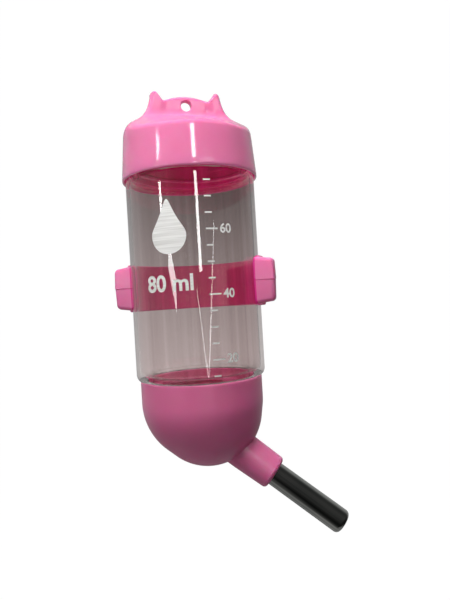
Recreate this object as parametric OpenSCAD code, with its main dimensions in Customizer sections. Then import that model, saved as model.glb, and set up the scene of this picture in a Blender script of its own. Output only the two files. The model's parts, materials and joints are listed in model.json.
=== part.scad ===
// Hanging drinking bottle for small pets: a clear bottle, open at both ends, with a screw cap on top,
// a half-ball cup screwed on below, a clip that carries it between two cage wires, and a slanted
// steel tube with two balls in its tip. Millimetres, +Z up along the bottle.
// The origin is the centre of the hang hole, and the tube points to +X and down.

/* [Bottle] */
// Outer diameter of the bottle
bottle_d = 40; // [36:1:60]
// Height of the plain bottle body, from its shoulder to its underside
bottle_h = 63; // [50:1:120]
// Wall of the bottle body
bottle_wall = 1.3; // [1:0.1:2]
// Wall of the two threaded necks
neck_wall = 1.4; // [1:0.1:1.8]
// Height of the bevel round the underside
bevel_h = 2; // [1:0.1:4]
// Width of the bevel round the underside
bevel_w = 1.1; // [0.5:0.1:1.3]

/* [Threads] */
// Rise of the cap thread in one turn
cap_pitch = 3.5; // [3:0.1:4.5]
// Rise of the base thread in one turn
base_pitch = 3; // [2.7:0.1:4]
// Height of a thread ridge above its wall
thread_depth = 0.7; // [0.5:0.05:0.9]
// Width of a thread ridge at its root
thread_w = 1.8; // [1.5:0.1:2]
// Width of a thread ridge at its crest
crest_w = 0.7; // [0.4:0.1:0.9]

/* [Cap] */
// Wall of the cap outside its thread
cap_wall = 1.5; // [1.2:0.1:2.5]
// Height of the cap's skirt, from its rim to its rounded top edge
cap_skirt_h = 11.4; // [10.8:0.1:16]
// Depth of the recess in the rim that laps over the bottle
cap_lap = 2; // [1:0.1:2.4]
// Wall of the rim round the bottle
rim_wall = 0.75; // [0.5:0.05:1.5]
// Rounding of the cap's top edge
cap_edge_r = 2; // [1:0.1:3]
// Rounding of the shoulders at the two ends of the fin
cap_shoulder_r = 5.4; // [4:0.1:6.5]
// Height of the roof ridge above the top edge
cap_roof_h = 9.2; // [8:0.1:12]
// Wall of the roof
roof_wall = 1.8; // [1.4:0.1:2.4]
// Radius of the flat ceiling inside the roof
ceiling_r = 4; // [2:0.5:6]
// Width of the ledge that presses on the cap seal
cap_ledge_w = 3.6; // [3:0.1:5]
// Height of the lip round the rim
lip_h = 1; // [0.5:0.1:1.5]

/* [Fin] */
// Turn of the fin from the plane of the tube, as the cap is screwed down
fin_turn = 28.5; // [0:0.5:180]
// Width of the fin at its foot
fin_w = 25.4; // [22:0.2:28]
// Thickness of the fin
fin_t = 2.4; // [2:0.1:4]
// Height of the hang hole above the roof ridge
hole_rise = 3; // [2.4:0.1:5]
// Diameter of the hang hole
hole_d = 3.2; // [2:0.1:4]
// Height of the fin's top edge above the hang hole, at mid width
fin_top = 3.1; // [2.8:0.1:6]
// Fall of the fin's curved top edge from mid width to the ears
fin_crown = 0.9; // [0.5:0.1:1.5]
// Distance between the tips of the two ears
ear_span = 20.8; // [18:0.2:22]
// Height of the ears above the fin's top edge
ear_h = 1.3; // [1:0.1:4]
// Width of an ear where it leaves the fin
ear_w = 3.9; // [3:0.1:6]
// Rounding of an ear's tip
ear_r = 1; // [0.5:0.1:1.2]
// Thickness of an ear
ear_t = 3.8; // [2.6:0.1:5]
// Hollow rounding between the fin and the roof
fin_fillet = 2.4; // [1:0.1:3]

/* [Seals] */
// Thickness of the two sealing rings
seal_t = 1.2; // [0.8:0.1:1.6]
// How far each ring reaches inside the neck that it seals
seal_lap = 0.3; // [0.1:0.1:0.6]

/* [Clip] */
// Height of the clip's band
clip_h = 15; // [10:0.5:24]
// Thickness of the clip's band
clip_wall = 1.6; // [1.2:0.1:2.4]
// Distance from the bottle's shoulder down to the middle of the clip
clip_drop = 34.4; // [15:0.2:42]
// How far each end of the band reaches past the middle of the bottle, in degrees
clip_grip = 14; // [8:0.5:24]
// Draft of the clip's outer face, from its parting line to each edge
clip_draft = 0.2; // [0.1:0.05:0.3]
// Reach of each hook block beyond the band
block_reach = 4; // [3.2:0.1:6]
// Thickness of each hook block, front to back
block_t = 3.7; // [3:0.1:6]
// Height of each hook block next to the band
block_h = 14; // [9:0.2:14.8]
// Height of each hook block at its outer end
block_end_h = 12.8; // [8:0.2:13.2]
// Rounding of the hook blocks' corners
block_r = 1.3; // [0.5:0.1:1.5]
// Diameter of the cage wire that each block hooks behind
wire_d = 2.4; // [1.8:0.1:3]

/* [Base] */
// How far the base cup stands in from the bottle's side
base_inset = 1.1; // [0.5:0.1:2]
// Wall of the base cup outside its thread
base_wall = 1.6; // [1.2:0.1:2.4]
// Height of the base cup's straight skirt
base_skirt_h = 6.8; // [6.4:0.1:12]
// Depth of the base cup's threaded bore
base_bore_h = 8; // [7.6:0.1:10]
// Width of the ledge that carries the base seal
base_ledge_w = 1.8; // [1.4:0.1:2.4]
// How much rounder the belly on the spout's side is than the ball
belly_step = 2; // [1:0.1:3]
// How far the belly stands out towards the spout
belly_out = 1.5; // [0.5:0.1:2.5]
// How far the belly hangs below the ball's centre
belly_drop = 3.7; // [3:0.1:4.5]

/* [Spout] */
// Angle of the tube below the horizontal
spout_angle = 36; // [25:0.5:50]
// Drop of the tube's line below the ball's centre, on the bottle's line
spout_drop = 7.7; // [4:0.1:9]
// Diameter of the socket at its root
socket_root_d = 11.1; // [10:0.1:14]
// Diameter of the socket at its end
socket_end_d = 10.4; // [9.6:0.1:13]
// Length of the socket outside the ball, along the tube's line
socket_l = 11.3; // [8:0.1:24]
// Rounding of the socket's end
socket_r = 1.2; // [0.4:0.1:1.3]
// Outer diameter of the tube
tube_d = 7.2; // [7:0.05:8]
// Wall of the tube
tube_wall = 0.35; // [0.3:0.05:0.5]
// Length of tube that shows beyond the socket
tube_out = 24.3; // [18:0.1:50]
// Rounding of the tube's rolled tip
tip_r = 1.4; // [0.8:0.1:1.5]
// Diameter of the opening in the tip
tip_hole_d = 4.4; // [3.8:0.1:5.2]
// Thickness of the rolled-in lip round that opening
tip_lip_t = 0.5; // [0.4:0.1:0.8]
// Diameter of the balls
ball_d = 6; // [5.8:0.05:6.2]
// Diameter of the water way from the cup into the tube
passage_d = 5; // [4:0.1:5.6]
// How far the tube reaches into the cup's wall
tube_seat = 1; // [0.5:0.1:2]

/* [Fits] */
// Gap between the rims of cap and clip and the bottle's side
bottle_gap = 0.2; // [0.1:0.05:0.4]
// Gap between a thread ridge and the wall that it faces
thread_gap = 0.2; // [0.15:0.05:0.35]
// Play between the flanks of two threads
thread_play = 0.2; // [0.1:0.05:0.3]
// Gap at each face of a seal
seal_gap = 0.03; // [0.02:0.01:0.1]
// Gap between the base cup's rim and the underside of the bottle
seam_gap = 0.25; // [0.1:0.05:0.5]
// Gap between the tube and its socket
tube_gap = 0.03; // [0.02:0.01:0.1]
// Gap between the tip ball and its seat, and between the two balls
ball_gap = 0.05; // [0.03:0.01:0.1]

/* [Hidden] */
$fn = 96;

pink = [0.93, 0.42, 0.67];
clear = [0.84, 0.87, 0.88, 0.35];
steel = [0.55, 0.54, 0.52];
seal_white = [0.92, 0.92, 0.9];

// Overshoot of cutting shapes, sink of joined shapes, and the tiny step from skirt to roof
cut = 1;
fin_sunk = 1;
fillet_sunk = 0.1;
thread_sunk = 0.25;
roof_step = 0.05;

// Radii, from the bottle outwards and inwards
bottle_r = bottle_d / 2;
cap_bore_r = bottle_r - cap_wall;
neck_r = cap_bore_r - thread_gap - thread_depth;
base_r = bottle_r - base_inset;
base_bore_r = base_r - base_wall;
outlet_r = base_bore_r - thread_gap - thread_depth;
base_ledge_r = base_bore_r - base_ledge_w;
belly_r = base_r - belly_step;
sleeve_r = bottle_r + bottle_gap;
clip_out_r = sleeve_r + clip_wall;
rim_r = sleeve_r + rim_wall;
roof_r = bottle_r - roof_step;
tube_r = tube_d / 2;
tube_bore_r = tube_r - tube_wall;
ball_r = ball_d / 2;

// Heights, from the hang hole downwards
roof_z = -hole_rise;
edge_z = roof_z - cap_roof_h;
rim_z = edge_z - cap_skirt_h;
cap_seat_z = edge_z;
shoulder_top_z = edge_z + cap_edge_r + cap_shoulder_r;
neck_z = cap_seat_z - seal_t - 2 * seal_gap;
shoulder_z = rim_z + cap_lap;
bottle_z = shoulder_z - bottle_h;
clip_z = shoulder_z - clip_drop;
base_rim_z = bottle_z - seam_gap;
ball_z = base_rim_z - base_skirt_h;
base_seat_z = base_rim_z - base_bore_h;
outlet_z = base_seat_z + seal_t + 2 * seal_gap;

// Slope of the roof in front of the fin, as a rise and as the length of its slanted side
roof_slope = (cap_roof_h - cap_edge_r) / (roof_r - cap_edge_r - fin_t / 2);
roof_slant = sqrt(1 + roof_slope * roof_slope);

// Hook blocks of the clip and the wire seats behind them
block_front_y = -sleeve_r * sin(clip_grip);
seat_x = clip_out_r + wire_d / 4;
seat_y = block_front_y + block_t;

// Thread ridges: the cap's hangs under the neck's, and the cup's lies on top of the lower neck's
thread_step = thread_w - (thread_w - crest_w) / 2 * (1 + thread_gap / thread_depth) + thread_play;
thread_lead = 0.2;
recess_z = shoulder_z + thread_lead;
cap_thread_low = recess_z + thread_lead / 2 + thread_w / 2 + thread_step;
cap_thread_high = neck_z - thread_lead - thread_w / 2;
base_thread_low = outlet_z + thread_lead + thread_w / 2;
base_thread_high = base_rim_z - thread_lead / 2 - thread_w / 2 - thread_step;

// Distances along the tube's line, from where it crosses the bottle's line
spout_z = ball_z - spout_drop;
spout_below = spout_drop - belly_drop;
belly_s = belly_out * cos(spout_angle) - spout_below * sin(spout_angle);
belly_side = belly_out * sin(spout_angle) + spout_below * cos(spout_angle);
belly_face_s = belly_s + sqrt(belly_r * belly_r - belly_side * belly_side);
socket_end_s = belly_face_s + socket_l;
tube_stop_s = belly_face_s - tube_seat;
tube_tip_s = socket_end_s + tube_out;
seat_s = sqrt(ball_r * ball_r - tip_hole_d * tip_hole_d / 4);
lip_s = tube_tip_s - tip_lip_t;
tip_ball_s = lip_s - seat_s - ball_gap;
inner_ball_s = tip_ball_s - ball_d - ball_gap;

// Points of an arc from angle a0 to a1
function arc(x, y, r, a0, a1, n = 12) =
    [for (i = [0:n]) let (a = a0 + (a1 - a0) * i / n) [x + r * cos(a), y + r * sin(a)]];

// Outline mirrored to both sides of the vertical
function both_sides(pts) =
    concat(pts, [for (i = [len(pts) - 1:-1:0]) [-pts[i][0], pts[i][1]]]);

// Moves its children onto the tube's line, with their +Z pointing out of the spout
module on_spout(s = 0) {
    translate([0, 0, spout_z]) rotate([0, 90 + spout_angle, 0]) translate([0, 0, s]) children();
}

// Helical ridge from height low to height high on a wall of radius r: side 1 stands out, -1 stands in
module thread_ridge(r, side, pitch, low, high) {
    turns = (high - low) / pitch;
    steps_per_turn = 48;
    n = ceil(turns * steps_per_turn);
    fade = 6;
    rings = [for (i = [0:n])
        let (a = 360 * turns * i / n, z = low + (high - low) * i / n)
        let (rise = thread_depth * min(1, (i + 0.5) / fade, (n - i + 0.5) / fade))
        for (p = [[-thread_sunk, -thread_w / 2], [-thread_sunk, thread_w / 2],
                [rise, crest_w / 2], [rise, -crest_w / 2]])
            let (q = r + side * p[0])
            [q * cos(a), q * sin(a), z + p[1]]];
    walls = [for (i = [0:n - 1], k = [0:3])
        let (a = 4 * i + k, b = 4 * i + (k + 1) % 4)
        for (f = [[a, b, b + 4], [a, b + 4, a + 4]])
            side > 0 ? [f[2], f[1], f[0]] : f];
    caps = [for (f = [[3, 2, 1], [3, 1, 0], [4 * n, 4 * n + 1, 4 * n + 2], [4 * n, 4 * n + 2, 4 * n + 3]])
        side > 0 ? [f[2], f[1], f[0]] : f];
    polyhedron(points = rings, faces = concat(walls, caps), convexity = 6);
}

// Flat sealing ring with its upper face at height z
module seal_ring(r_in, r_out, z) {
    rotate_extrude() translate([r_in, z - seal_t]) square([r_out - r_in, seal_t]);
}

// Band of the clip, with a slight draft from its parting line to both edges
module clip_band() {
    edge_r = clip_out_r - clip_draft;
    soft = 0.4;
    rotate([0, 0, -clip_grip])
        rotate_extrude(angle = 180 + 2 * clip_grip)
            polygon([
                [sleeve_r, -clip_h / 2], [edge_r - soft, -clip_h / 2], [edge_r, -clip_h / 2 + soft],
                [clip_out_r, 0],
                [edge_r, clip_h / 2 - soft], [edge_r - soft, clip_h / 2], [sleeve_r, clip_h / 2]]);
}

// Hook block at the +X end of the band: a barb that a cage wire sits behind
module hook_block() {
    inner_x = sleeve_r * cos(clip_grip) - clip_wall;
    end_x = clip_out_r + block_reach;
    drop = (block_h - block_end_h) / 2;
    tilt = atan2(drop, block_reach - block_r);
    intersection() {
        translate([0, 0, -block_h / 2])
            linear_extrude(block_h)
                polygon(concat(
                    [[inner_x, seat_y], [inner_x, block_front_y]],
                    arc(end_x - block_r, block_front_y + block_r, block_r, -90, 0),
                    arc(end_x - block_r / 2, seat_y - block_r / 2, block_r / 2, 0, 90)));
        translate([0, seat_y, 0])
            rotate([90, 0, 0])
                linear_extrude(block_t)
                    polygon(concat(
                        [[inner_x, block_h / 2], [inner_x, -block_h / 2], [clip_out_r, -block_h / 2]],
                        arc(end_x - block_r, block_r + drop - block_h / 2, block_r, tilt - 90, 0),
                        arc(end_x - block_r, block_h / 2 - drop - block_r, block_r, 0, 90 - tilt),
                        [[clip_out_r, block_h / 2]]));
    }
}

// Clip: one springy moulding that snaps round the bottle and hooks behind two cage wires
module clip() {
    color(pink) translate([0, 0, clip_z])
        difference() {
            union() {
                clip_band();
                hook_block();
                mirror([1, 0, 0]) hook_block();
            }
            cylinder(h = clip_h + 2 * cut, r = sleeve_r, center = true);
            for (s = [-1, 1])
                translate([s * seat_x, seat_y, 0])
                    cylinder(h = clip_h + 2 * cut, d = wire_d, center = true);
        }
}

// Bottle: clear wall with a threaded neck at each end
module bottle() {
    in_r = bottle_r - bottle_wall;
    neck_in_r = neck_r - neck_wall;
    outlet_in_r = outlet_r - neck_wall;
    soft = 0.8;
    color(clear) {
        rotate_extrude() polygon([
            [outlet_in_r, outlet_z], [outlet_r, outlet_z], [outlet_r, bottle_z],
            [bottle_r - bevel_w, bottle_z], [bottle_r, bottle_z + bevel_h],
            [bottle_r, shoulder_z - soft], [bottle_r - soft, shoulder_z],
            [neck_r, shoulder_z], [neck_r, neck_z], [neck_in_r, neck_z],
            [neck_in_r, shoulder_z - bottle_wall],
            [in_r, shoulder_z - bottle_wall - (in_r - neck_in_r)],
            [in_r, bottle_z + bottle_wall + (in_r - outlet_in_r)],
            [outlet_in_r, bottle_z + bottle_wall]]);
        thread_ridge(neck_r, 1, cap_pitch, cap_thread_low, cap_thread_high);
        thread_ridge(outlet_r, 1, base_pitch, base_thread_low, base_thread_high);
    }
}

// Outline of the fin and its ears, seen square on, with its foot sunk in the roof
module fin_outline() {
    half = fin_w / 2;
    ear_x = ear_span / 2;
    ear_z = fin_top + ear_h - ear_r;
    top_half = ear_x + ear_r - ear_w;
    top_r = (top_half * top_half + fin_crown * fin_crown) / (2 * fin_crown);
    top_a = asin(top_half / top_r);
    lean = atan2(half - ear_x - ear_r, ear_z - shoulder_top_z - fin_fillet);
    slant = atan2(ear_h + fin_crown, ear_w - 2 * ear_r);
    polygon(both_sides(concat(
        [[half + fin_fillet, shoulder_top_z - fin_sunk]],
        arc(half + fin_fillet, shoulder_top_z - fillet_sunk + fin_fillet, fin_fillet, 270, 180),
        arc(ear_x, ear_z, ear_r, lean, 90 + slant),
        arc(0, fin_top - top_r, top_r, 90 - top_a, 90))));
}

// Side view of the fin: a thin plate with a hollow rounding between it and the roof
module fin_profile() {
    foot = fin_fillet * (roof_slant - roof_slope);
    polygon(both_sides(concat(
        [[fin_t / 2 + fin_fillet, roof_z - fin_sunk - fin_fillet]],
        arc(fin_t / 2 + fin_fillet, roof_z + foot, fin_fillet, 270 - atan(roof_slope), 180),
        [[fin_t / 2, fin_top + ear_h + cut]])));
}

// Fin with its two thicker ears and the hang hole
module fin() {
    ear_foot = ear_span / 2 + ear_r - ear_w;
    ear_top = fin_top + ear_h + cut;
    difference() {
        union() {
            intersection() {
                rotate([90, 0, 0]) linear_extrude(bottle_d, center = true) fin_outline();
                rotate([90, 0, 90]) linear_extrude(bottle_d, center = true) fin_profile();
            }
            for (s = [0, 1])
                mirror([s, 0, 0])
                    rotate([90, 0, 0])
                        linear_extrude(ear_t, center = true)
                            intersection() {
                                fin_outline();
                                polygon([
                                    [fin_w, roof_z], [fin_w, ear_top], [ear_foot, ear_top],
                                    [ear_foot, fin_top - fin_crown], [fin_w / 2 - ear_r, roof_z]]);
                            }
        }
        rotate([90, 0, 0]) cylinder(h = bottle_d, d = hole_d, center = true);
    }
}

// Roof of the cap: slopes from the round top edge up to the foot of the fin, with full shoulders
module roof() {
    hull() {
        rotate_extrude($fn = 96)
            translate([roof_r - cap_edge_r, edge_z])
                circle(cap_edge_r, $fn = 32);
        for (s = [-1, 1])
            translate([s * (roof_r - cap_shoulder_r), 0, shoulder_top_z - cap_shoulder_r])
                sphere(cap_shoulder_r, $fn = 48);
        translate([-fin_w / 2, -fin_t / 2, roof_z - fin_sunk])
            cube([fin_w, fin_t, fin_sunk]);
    }
}

// Top cap: skirt with an inside thread, hollow roof, and the fin that the bottle hangs by
module top_cap() {
    hollow_r = cap_bore_r - cap_ledge_w;
    hollow_z = edge_z + cap_edge_r + (roof_r - cap_edge_r - hollow_r) * roof_slope - roof_wall * roof_slant;
    ceiling_z = hollow_z + (hollow_r - ceiling_r) * roof_slope;
    color(pink) {
        difference() {
            union() {
                rotate_extrude() polygon([
                    [0, rim_z], [rim_r, rim_z], [rim_r, rim_z + lip_h], [bottle_r, edge_z], [0, edge_z]]);
                rotate([0, 0, fin_turn]) roof();
                rotate([0, 0, fin_turn]) fin();
            }
            rotate_extrude() polygon([
                [0, rim_z - cut], [sleeve_r, rim_z - cut], [sleeve_r, recess_z], [cap_bore_r, recess_z],
                [cap_bore_r, cap_seat_z], [hollow_r, cap_seat_z], [hollow_r, hollow_z],
                [ceiling_r, ceiling_z], [0, ceiling_z]]);
        }
        thread_ridge(
            cap_bore_r, -1, cap_pitch, cap_thread_low - thread_step, cap_thread_high - thread_step);
    }
}

// Cap seal: soft ring that the cap presses onto the end of the upper neck
module cap_seal() {
    color(seal_white)
        seal_ring(neck_r - neck_wall - seal_lap, cap_bore_r - thread_gap, cap_seat_z - seal_gap);
}

// Ball of the base cup, with a rounder belly that swells towards the spout
module belly() {
    reach = norm([belly_out, belly_drop]);
    taper = asin(belly_step / reach);
    sphere(base_r);
    translate([belly_out, 0, -belly_drop]) sphere(belly_r);
    rotate([0, 90 + atan2(belly_drop, belly_out), 0])
        translate([0, 0, base_r * sin(taper)])
            cylinder(
                h = reach - belly_step * sin(taper),
                r1 = base_r * cos(taper),
                r2 = belly_r * cos(taper));
}

// Base cup: half ball with an inside thread, a ledge for its seal and the slanted socket of the tube
module base_cup() {
    color(pink) {
        difference() {
            union() {
                translate([0, 0, ball_z]) cylinder(h = base_skirt_h, r = base_r);
                translate([0, 0, ball_z]) belly();
                on_spout() rotate_extrude() polygon(concat(
                    [[0, 0], [socket_root_d / 2, 0], [socket_root_d / 2, belly_face_s]],
                    arc(socket_end_d / 2 - socket_r, socket_end_s - socket_r, socket_r, 0, 90),
                    [[0, socket_end_s]]));
            }
            translate([0, 0, base_seat_z]) cylinder(h = base_bore_h + cut, r = base_bore_r);
            translate([0, 0, base_seat_z]) sphere(base_ledge_r);
            translate([0, 0, base_rim_z]) cylinder(h = base_r, r = base_r + cut);
            on_spout(tube_stop_s) cylinder(h = socket_end_s, r = tube_r + tube_gap);
            on_spout(0) cylinder(h = socket_end_s, d = passage_d);
        }
        thread_ridge(
            base_bore_r, -1, base_pitch, base_thread_low + thread_step, base_thread_high + thread_step);
    }
}

// Base seal: soft ring between the end of the lower neck and the ledge in the cup
module base_seal() {
    color(seal_white)
        seal_ring(outlet_r - neck_wall - seal_lap, base_bore_r - thread_gap, base_seat_z + seal_gap + seal_t);
}

// Drinking tube: steel tube whose end is rolled in to hold the ball
module drinking_tube() {
    hole_r = tip_hole_d / 2;
    foot_s = tube_stop_s + tube_gap;
    color(steel) on_spout() rotate_extrude() polygon(concat(
        [[tube_bore_r, foot_s], [tube_r, foot_s]],
        arc(tube_r - tip_r, tube_tip_s - tip_r, tip_r, 0, 90),
        [[hole_r, tube_tip_s], [hole_r, lip_s], [tube_bore_r, lip_s - (tube_bore_r - hole_r)]]));
}

// Tip ball: shuts the tube until it is pushed in
module tip_ball() {
    color(steel) on_spout(tip_ball_s) sphere(ball_r);
}

// Inner ball: rolls in the tube behind the tip ball
module inner_ball() {
    color(steel) on_spout(inner_ball_s) sphere(ball_r);
}

clip();
bottle();
top_cap();
cap_seal();
base_cup();
base_seal();
drinking_tube();
tip_ball();
inner_ball();
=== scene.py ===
import json
import math

import bmesh
import bpy
from mathutils import Matrix, Vector


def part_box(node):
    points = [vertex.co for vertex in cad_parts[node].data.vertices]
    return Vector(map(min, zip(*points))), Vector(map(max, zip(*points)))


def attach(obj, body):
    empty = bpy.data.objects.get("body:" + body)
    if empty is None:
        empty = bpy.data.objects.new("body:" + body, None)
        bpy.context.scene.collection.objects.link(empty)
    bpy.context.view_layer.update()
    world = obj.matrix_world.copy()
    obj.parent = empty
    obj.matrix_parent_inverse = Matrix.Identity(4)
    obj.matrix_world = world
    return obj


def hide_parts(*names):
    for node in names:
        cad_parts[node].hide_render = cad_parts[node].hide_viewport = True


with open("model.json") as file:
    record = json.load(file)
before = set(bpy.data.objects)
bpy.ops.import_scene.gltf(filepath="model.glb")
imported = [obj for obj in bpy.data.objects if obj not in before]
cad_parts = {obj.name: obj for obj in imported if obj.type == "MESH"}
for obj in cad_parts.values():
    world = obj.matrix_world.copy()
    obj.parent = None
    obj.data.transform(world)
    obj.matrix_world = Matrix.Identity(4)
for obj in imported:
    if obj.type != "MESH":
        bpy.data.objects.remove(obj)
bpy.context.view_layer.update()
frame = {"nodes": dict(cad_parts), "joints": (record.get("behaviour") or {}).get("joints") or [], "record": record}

# Bottle: one clear plastic moulding, open at both ends, with a rounded foot and a narrower threaded neck at
# each end. It is blown smooth, so its wall shows only faint upright flow lines. Sizes are in millimetres.
MM = 0.001


def corners(node):
    """Lowest and highest corner of a CAD node, in millimetres to the hundredth."""
    return [[round(value / MM, 2) for value in corner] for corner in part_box(node)]


(_, _, OUTLET_Z), (BOTTLE_R, _, NECK_Z) = corners("bottle")
BOTTLE_WALL, NECK_WALL, NECK_R, OUTLET_R = 1.3, 1.4, 17.6, 16.4
BOTTLE_IN_R, NECK_IN_R, OUTLET_IN_R = BOTTLE_R - BOTTLE_WALL, NECK_R - NECK_WALL, OUTLET_R - NECK_WALL
SHOULDER_Z, FOOT_Z = -21.6, -84.6
INSIDE_TOP_Z, INSIDE_FOOT_Z = SHOULDER_Z - BOTTLE_WALL, FOOT_Z + BOTTLE_WALL
SHOULDER_R, INSIDE_TOP_R, INSIDE_FOOT_R = 0.8, 1.2, 1.6
FOOT_BEVEL_W, FOOT_BEVEL_H, FOOT_STEPS = 1.1, 2.0, 10
NECK_SOFT, OUTLET_ROOT_SOFT, BOTTLE_SIDES = 0.3, 0.2, 160


def arc(radius_at, height_at, radius, start, end, steps):
    """Points of a circular arc in a (radius, height) outline, from one angle to another in degrees."""
    turns = [math.radians(start + (end - start) * k / steps) for k in range(steps + 1)]
    return [(radius_at + radius * math.cos(a), height_at + radius * math.sin(a)) for a in turns]


def only(piece):
    """Makes one object the selected and active one."""
    bpy.ops.object.select_all(action="DESELECT")
    piece.select_set(True)
    bpy.context.view_layer.objects.active = piece


def face_outwards():
    """Turns all faces of the mesh in edit mode outwards."""
    bpy.ops.mesh.select_all(action="SELECT")
    bpy.ops.mesh.normals_make_consistent(inside=False)


AXIS_R, LONG_EDGE, LOOP_IN, TURNED_GAP = 0.0004, 1.6, 0.2, 3e-6


def turned(name, outline, sides):
    """Turned solid: a circle drawn out from point to point of a closed (radius, height) outline.

    A long edge gets a loop close to each of its ends, which keeps its shading straight.
    """
    on_axis = min(outline[0][0], outline[-1][0]) <= AXIS_R
    path = [outline[0]]
    for start, end in zip(outline, outline[1:] + ([] if on_axis else outline[:1])):
        run = math.dist(start, end)
        shares = [LOOP_IN / run, 1 - LOOP_IN / run, 1] if run > LONG_EDGE else [1]
        path += [tuple(a + (b - a) * share for a, b in zip(start, end)) for share in shares]
    radius, height = path[0]
    bpy.ops.object.select_all(action="DESELECT")
    bpy.ops.mesh.primitive_circle_add(vertices=sides, radius=radius * MM, location=(0, 0, height * MM))
    piece = bpy.context.object
    piece.name = piece.data.name = name
    bpy.ops.object.transform_apply()
    bpy.ops.object.mode_set(mode="EDIT")
    bpy.ops.mesh.select_all(action="SELECT")
    for to_radius, to_height in path[1:]:
        grow = to_radius / radius
        bpy.ops.mesh.extrude_region()
        bpy.ops.transform.resize(value=(grow, grow, 1), center_override=(0, 0, height * MM))
        bpy.ops.transform.translate(value=(0, 0, (to_height - height) * MM))
        radius, height = to_radius, to_height
    bpy.ops.mesh.select_all(action="SELECT")
    bpy.ops.mesh.remove_doubles(threshold=TURNED_GAP)
    face_outwards()
    bpy.ops.object.mode_set(mode="OBJECT")
    return piece


def combine(piece, tool, operation):
    """Joins another solid to a piece, or cuts it out of the piece, and uses it up."""
    only(piece)
    step = piece.modifiers.new(operation, "BOOLEAN")
    step.operation, step.object, step.solver = operation, tool, "EXACT"
    bpy.ops.object.modifier_apply(modifier=step.name)
    bpy.data.objects.remove(tool)


CUT_GAP = 2e-6


def weld():
    """Merges what cuts left double in the mesh in edit mode, and drops its slivers and loose edges."""
    bpy.ops.mesh.select_all(action="SELECT")
    bpy.ops.mesh.remove_doubles(threshold=CUT_GAP)
    bpy.ops.mesh.dissolve_degenerate(threshold=CUT_GAP)
    bpy.ops.mesh.select_all(action="SELECT")
    bpy.ops.mesh.delete_loose()


def smooth(piece, angle):
    """Welds a finished mesh and shades it smooth, with edges sharper than the angle left crisp."""
    only(piece)
    bpy.ops.object.mode_set(mode="EDIT")
    weld()
    bpy.ops.object.mode_set(mode="OBJECT")
    bpy.ops.object.shade_smooth_by_angle(angle=math.radians(angle))


THREAD_DEPTH, THREAD_W, CREST_W, THREAD_SUNK = 0.7, 1.8, 0.7, 0.25
THREAD_STEPS, THREAD_FADE, THREAD_START = 48, 6, 1.1
CAP_THREAD_H, BASE_THREAD_H = 4.35, 3.35
PITCH = {row["joint"]: round(row["ratio"] * math.tau / MM, 2)
         for row in frame["record"]["behaviour"]["couplings"]}


def thread(radius, side, pitch, low, tall):
    """Helical ridge on a wall, standing outwards for side 1 and inwards for side -1, faded at both ends."""
    bpy.ops.object.select_all(action="DESELECT")
    bpy.ops.mesh.primitive_plane_add(size=THREAD_W * MM, rotation=(math.radians(90), 0, 0))
    ridge = bpy.context.object
    bpy.ops.object.transform_apply()
    for corner in ridge.data.vertices:
        at_crest, up = corner.co.x > 0, 1 if corner.co.z > 0 else -1
        reach = THREAD_DEPTH if at_crest else -THREAD_SUNK
        width = CREST_W if at_crest else THREAD_W
        corner.co = Vector((radius + side * reach, 0, low + up * width / 2)) * MM
    turns = tall / pitch
    steps = math.ceil(turns * THREAD_STEPS)
    wind = ridge.modifiers.new("wind", "SCREW")
    wind.axis, wind.angle, wind.screw_offset = "Z", turns * math.tau, tall * MM
    wind.steps = wind.render_steps = steps
    bpy.ops.object.modifier_apply(modifier="wind")
    for vertex in ridge.data.vertices:
        ring = vertex.index // 4
        rise = min(1, (ring + 0.5) / THREAD_FADE, (steps - ring + 0.5) / THREAD_FADE)
        flat = vertex.co.xy.length
        proud = side * (flat - radius * MM)
        if proud > 0:
            vertex.co.xy *= (radius * MM + side * proud * rise) / flat
    bpy.ops.object.mode_set(mode="EDIT")
    bpy.ops.mesh.select_all(action="SELECT")
    bpy.ops.mesh.fill_holes(sides=4)
    face_outwards()
    bpy.ops.object.mode_set(mode="OBJECT")
    return ridge


foot_bevel = [
    (BOTTLE_R - FOOT_BEVEL_W * (1 - math.sin(a)), FOOT_Z + FOOT_BEVEL_H * (1 - math.cos(a)))
    for a in [math.pi / 2 * k / FOOT_STEPS for k in range(FOOT_STEPS + 1)]]
bottle = turned("clear_bottle", [
    (OUTLET_IN_R, OUTLET_Z + NECK_SOFT), (OUTLET_IN_R + NECK_SOFT, OUTLET_Z),
    (OUTLET_R - NECK_SOFT, OUTLET_Z), (OUTLET_R, OUTLET_Z + NECK_SOFT),
    (OUTLET_R, FOOT_Z - OUTLET_ROOT_SOFT), (OUTLET_R + OUTLET_ROOT_SOFT, FOOT_Z)]
    + foot_bevel
    + arc(BOTTLE_R - SHOULDER_R, SHOULDER_Z - SHOULDER_R, SHOULDER_R, 0, 90, 6)
    + [(NECK_R + NECK_SOFT, SHOULDER_Z), (NECK_R, SHOULDER_Z + NECK_SOFT), (NECK_R, NECK_Z - NECK_SOFT),
       (NECK_R - NECK_SOFT, NECK_Z), (NECK_IN_R + NECK_SOFT, NECK_Z), (NECK_IN_R, NECK_Z - NECK_SOFT),
       (NECK_IN_R, INSIDE_TOP_Z)]
    + arc(BOTTLE_IN_R - INSIDE_TOP_R, INSIDE_TOP_Z - INSIDE_TOP_R, INSIDE_TOP_R, 90, 0, 8)
    + arc(BOTTLE_IN_R - INSIDE_FOOT_R, INSIDE_FOOT_Z + INSIDE_FOOT_R, INSIDE_FOOT_R, 0, -90, 8)
    + [(OUTLET_IN_R + NECK_SOFT, INSIDE_FOOT_Z), (OUTLET_IN_R, INSIDE_FOOT_Z - NECK_SOFT)], BOTTLE_SIDES)
neck_thread_z, outlet_thread_z = NECK_Z - THREAD_START - CAP_THREAD_H, OUTLET_Z + THREAD_START
combine(bottle, thread(NECK_R, 1, PITCH["cap_lift"], neck_thread_z, CAP_THREAD_H), "UNION")
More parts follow.
